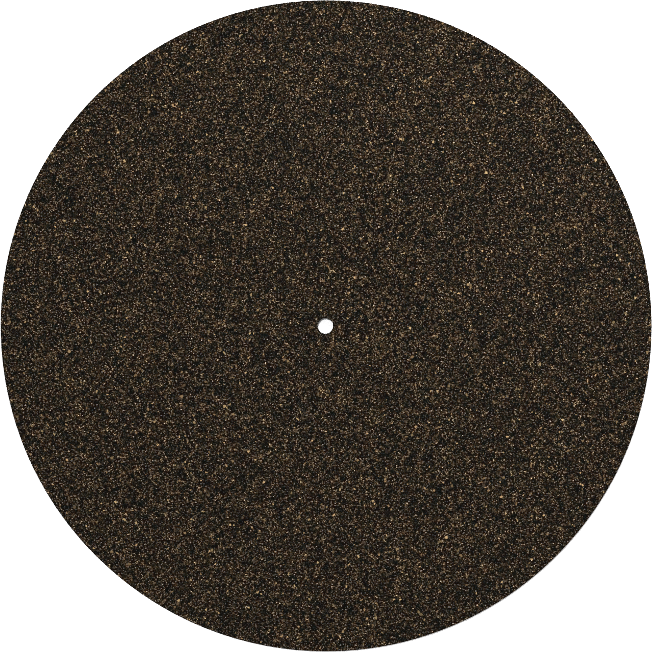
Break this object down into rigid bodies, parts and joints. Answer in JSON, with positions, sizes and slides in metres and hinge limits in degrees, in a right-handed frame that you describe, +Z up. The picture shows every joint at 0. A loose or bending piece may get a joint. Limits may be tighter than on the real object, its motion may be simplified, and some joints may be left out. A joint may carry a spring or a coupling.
{
  "type": "turntable platter mat",
  "caption": "Flat round cork-rubber mat with a central spindle hole, laid on a record player's platter under the record.",
  "frame": {"origin": "centre of the spindle hole on the underside, where the mat meets the platter", "axes": "+Z up along the spindle, out of the face that the record lies on; +X and +Y are any two directions across the mat, since it is round"},
  "size_m": [0.3, 0.3, 0.003],
  "materials": {
    "cork_rubber": "matte near-black rubber filled all through with fine tan and brown cork granules"
  },
  "bodies": {
    "root": {"platter_mat": "cork_rubber"}
  },
  "joints": []
}
